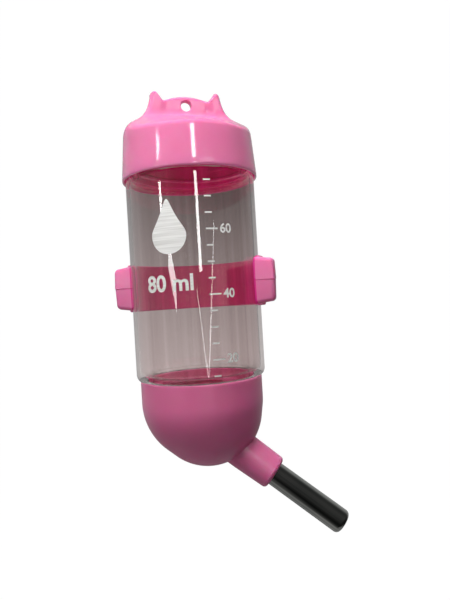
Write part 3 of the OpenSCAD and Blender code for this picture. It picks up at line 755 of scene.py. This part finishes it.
def hook_block():
    """Block at the +X end of the band: a bevelled, tapered brick with a parting line at mid height."""
    bpy.ops.object.select_all(action="DESELECT")
    bpy.ops.mesh.primitive_cube_add(size=MM)
    block = bpy.context.object
    for corner in block.data.vertices:
        x, half_h = (BLOCK_END, BLOCK_END_HALF_H) if corner.co.x > 0 else (BLOCK_IN, BLOCK_ROOT_HALF_H)
        y = BLOCK_BACK if corner.co.y > 0 else BLOCK_FRONT
        corner.co = Vector((x, y, CLIP_Z + (half_h if corner.co.z > 0 else -half_h))) * MM
    only(block)
    bpy.ops.object.mode_set(mode="EDIT")
    shape = bmesh.from_edit_mesh(block.data)
    for edge in shape.edges:
        middle = (edge.verts[0].co + edge.verts[1].co) / 2 / MM
        at_root, at_back = middle.x < BLOCK_IN + NEAR, middle.y > BLOCK_BACK - NEAR
        edge.select_set(middle.x > BLOCK_END - NEAR or not (at_root or at_back))
    bmesh.update_edit_mesh(block.data)
    bpy.ops.mesh.bevel(
        offset=BLOCK_ROUND * MM, segments=BLOCK_ROUND_STEPS, profile=0.5, affect="EDGES", clamp_overlap=True)
    for height in (-GROOVE_HALF_W, 0, GROOVE_HALF_W):
        bpy.ops.mesh.select_all(action="SELECT")
        bpy.ops.mesh.bisect(plane_co=(0, 0, (CLIP_Z + height) * MM), plane_no=(0, 0, 1))
    face_outwards()
    bpy.ops.object.mode_set(mode="OBJECT")
    for corner in block.data.vertices:
        height = corner.co.z / MM - CLIP_Z
        in_groove = abs(height) < GROOVE_HALF_W / 2
        sink = GROOVE_DEEP if in_groove else PARTING_STEP if height < 0 else 0
        lean = BLOCK_LEAN * (1 - abs(height) / BLOCK_HALF_H) - sink
        to_front = ease((BLOCK_BACK - LEAN_FROM_BACK - corner.co.y / MM) / LEAN_RUN)
        to_end = ease((corner.co.x / MM - BLOCK_END + LEAN_FROM_END) / LEAN_RUN)
        corner.co.y -= lean * MM * to_front
        corner.co.x += (lean - BLOCK_LEAN) * MM * to_end
    return block


def clip_room(name, radius, sides):
    """Upright rod, longer than the clip is high, that cuts room for the bottle or for a wire."""
    low, high = CLIP_Z - ROOM_HALF_H, CLIP_Z + ROOM_HALF_H
    return turned(name, [(AXIS_R, low), (radius, low), (radius, high), (AXIS_R, high)], sides)


right_block, left_block = hook_block(), hook_block()
left_block.data.transform(Matrix.Scale(-1, 4, (1, 0, 0)))
left_block.data.flip_normals()
combine(clip, right_block, "UNION")
combine(clip, left_block, "UNION")
combine(clip, clip_room("bottle_room", CLIP_IN_R, ROOM_SIDES), "DIFFERENCE")
for wire_x in (-WIRE_X, WIRE_X):
    wire_room = clip_room("wire_room", WIRE_R, WIRE_SIDES)
    wire_room.data.transform(Matrix.Translation(Vector((wire_x, BLOCK_BACK, 0)) * MM))
    combine(clip, wire_room, "DIFFERENCE")
smooth(clip, 30)

# The clip's pinks are lighter than the cap's. This is painted light: it brightens the clip where the lamps leave
# it darker than the cap.
CLIP_LIT_PINK, CLIP_LIT_PALE, CLIP_PAINTED_SHADE = (0.82, 0.205, 0.42), (0.92, 0.25, 0.49), (0.79, 0.02, 0.26)
# The last colour above is painted shade: a darker, deeper pink on the clip's inside, facing the bottle, where
# little light gets in.
CLIP_SHADED_INSIDE = {"reach": 20.75, "flare": 0.0, "top": 0.0}
dress(clip, pink_plastic(
    "matt_pink_plastic", CLIP_LIT_PINK, CLIP_LIT_PALE, shine=0.34, dust=0.12, grain=0.16, coat=0.0,
    shaded_inside=CLIP_SHADED_INSIDE, painted_shade=CLIP_PAINTED_SHADE))
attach(clip, "clip")
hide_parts("clip")

# Studio: a white floor far below that sweeps up into a backdrop, soft lamps round the bottle, far and narrow
# lamps that show as light streaks in reflections only, and a camera close by, level with the bottle's middle.
CAMERA_TURN, CAMERA_ROLL = math.radians(14), math.radians(3.4)
CAMERA_Z, CAMERA_AWAY, CAMERA_SIDE = -60.8, 160.0, 8.82
SENSOR_H, LENS, NEAREST_M, FARTHEST_M = 36.0, 30.48, 0.005, 20.0
right = Vector((math.cos(CAMERA_TURN), math.sin(CAMERA_TURN), 0))
back = Vector((math.sin(CAMERA_TURN), -math.cos(CAMERA_TURN), 0))
up = Vector((0, 0, 1))
frame_right = right * math.cos(CAMERA_ROLL) - up * math.sin(CAMERA_ROLL)
frame_up = right * math.sin(CAMERA_ROLL) + up * math.cos(CAMERA_ROLL)
camera = bpy.data.objects.new("camera", bpy.data.cameras.new("camera"))
bpy.context.scene.collection.objects.link(camera)
camera.data.sensor_fit, camera.data.sensor_height, camera.data.lens = "VERTICAL", SENSOR_H, LENS
camera.data.clip_start, camera.data.clip_end = NEAREST_M, FARTHEST_M
camera_at = (up * CAMERA_Z + back * CAMERA_AWAY + frame_right * CAMERA_SIDE) * MM
camera.matrix_world = (
    Matrix.Translation(camera_at) @ Matrix((frame_right, frame_up, back)).transposed().to_4x4())
bpy.context.scene.camera = camera

FLOOR_Z, FLOOR_T, SWEEP_R, SWEEP_ROUND, BACKDROP_Z, FLOOR_SIDES = -600.0, 20.0, 900.0, 300.0, 3000.0, 96
backdrop_r = SWEEP_R + SWEEP_ROUND
floor = turned("floor", [(AXIS_R, FLOOR_Z), (SWEEP_R, FLOOR_Z)]
               + arc(SWEEP_R, FLOOR_Z + SWEEP_ROUND, SWEEP_ROUND, -90, 0, 12)
               + [(backdrop_r, BACKDROP_Z), (backdrop_r + FLOOR_T, BACKDROP_Z),
                  (backdrop_r + FLOOR_T, FLOOR_Z - FLOOR_T), (AXIS_R, FLOOR_Z - FLOOR_T)], FLOOR_SIDES)
smooth(floor, 60)
pale, _, _ = new_finish(
    "pale_floor", Base_Color=(0.02, 0.02, 0.02, 1), Roughness=1.0, Emission_Color=(1, 1, 1, 1),
    Emission_Strength=1.0)
dress(floor, pale)
floor.visible_diffuse = floor.visible_glossy = floor.visible_transmission = floor.visible_shadow = False


def zone(value, start, end, low, high):
    """Brightness of the sky that goes softly from low to high as a value goes from start to end."""
    return value.node("ShaderNodeMapRange", {"interpolation_type": "SMOOTHSTEP"}, {
        "Value": value, "From Min": start, "From Max": end, "To Min": low, "To Max": high})


def share_along(towards, direction):
    """How much a direction into the sky points along another one, from -1 to 1."""
    return towards.node(
        "ShaderNodeVectorMath", {"operation": "DOT_PRODUCT"}, {0: towards, 1: direction}, out=1)


world = bpy.data.worlds.new("studio")
bpy.context.scene.world = world
world.use_nodes = True
towards = Shade(world.node_tree).node("ShaderNodeTexCoord", out=0)
rise = height_on(towards)
leftward = share_along(towards, -right)
faint = zone(rise, -0.3, 0.4, 0.014, 0.055)
rear = zone(share_along(towards, -back), 0.0, 0.8, 0.0, 0.38) * zone(rise, -0.7, -0.1, 0.4, 1.0)
left = zone(leftward, 0.3, 0.95, 0.0, 0.2)
ground = zone(rise, -0.62, -0.9, 0.0, 0.2)
slant = rise.maths("MAXIMUM", 0.90 + 1.1 * leftward - 2.8 * rise, 0.33)
high = zone(rise, 0.3, 0.6, 0.0, 0.9)
through = towards.node("ShaderNodeLightPath", out="Is Transmission Ray")
seen = through * (0.40 * (slant + high)) + (1 - through) * (faint + rear + left + ground)
world.node_tree.links.new(seen.socket, world.node_tree.nodes["Background"].inputs["Color"])

MIDDLE, STRIP_AWAY = up * -60, 3000
not_streaked = bpy.data.collections.new("not_streaked")
for steel in (tube, ball):
    not_streaked.objects.link(steel)
for entry in not_streaked.collection_objects:
    entry.light_linking.link_state = "EXCLUDE"


def aim(turn, rise, away):
    """Place at a turn from the camera's own direction and a rise above the level, as seen from mid bottle."""
    turn, rise = math.radians(turn), math.radians(rise)
    flat = back * math.cos(turn) + right * math.sin(turn)
    return (MIDDLE + (flat * math.cos(rise) + up * math.sin(rise)) * away) * MM


def lamp(name, spot, spread, width, tall, watts, streak):
    """Lamp that faces the bottle, its long side along a direction. It gives light, or shows as a streak."""
    source = bpy.data.lights.new(name, "AREA")
    source.shape, source.size, source.size_y, source.energy = "RECTANGLE", width * MM, tall * MM, watts
    facing = (spot - MIDDLE * MM).normalized()
    across = spread.cross(facing).normalized()
    holder = bpy.data.objects.new(name, source)
    holder.matrix_world = (
        Matrix.Translation(spot) @ Matrix((across, facing.cross(across), facing)).transposed().to_4x4())
    holder.visible_camera = holder.visible_transmission = False
    holder.visible_glossy, holder.visible_diffuse = streak, not streak
    if streak:
        holder.light_linking.receiver_collection = not_streaked
    bpy.context.scene.collection.objects.link(holder)


def soft_lamp(name, turn, rise, away, width, watts):
    """Square lamp that gives light and shows in no reflection."""
    lamp(name, aim(turn, rise, away), up, width, width, watts, False)


def strip(name, start, end, width, glow):
    """Far, narrow lamp shown in reflections only, from one (turn, rise) to another, some degrees wide."""
    low, high = aim(*start, STRIP_AWAY), aim(*end, STRIP_AWAY)
    tall, width = (high - low).length / MM, math.radians(width) * STRIP_AWAY
    lamp(name, (low + high) / 2, high - low, width, tall, glow * math.pi * width * tall * MM * MM, True)


soft_lamp("key", -14, 60, 235, 150, 0.69)
soft_lamp("left_fill", -85, 50, 300, 200, 0.08)
soft_lamp("right_fill", 52, 55, 260, 160, 0.15)
soft_lamp("low_fill", -20, -35, 500, 300, 0.24)
soft_lamp("rear", 180, 38, 400, 300, 0.45)
strip("strip_left", (-50, 6), (-50, 14), 4.6, 18)
strip("strip_left_high", (-50, 26), (-50, 28.5), 4.8, 20)
strip("strip_right", (12.6, 3.5), (12.6, 15), 4.6, 18)
strip("strip_right_high", (12.6, 25.6), (12.6, 34), 5.2, 20)
strip("strip_low", (-42, 6), (-31.5, 0.8), 4.6, 12)
strip("line_right", (40, 9), (15, -9.5), 0.9, 9)
strip("line_middle", (4, 1.5), (15, -9.5), 0.9, 9)
strip("sheen", (22, 20.5), (46, 20.5), 9, 2.5)
bpy.context.scene.view_settings.view_transform = "Standard"
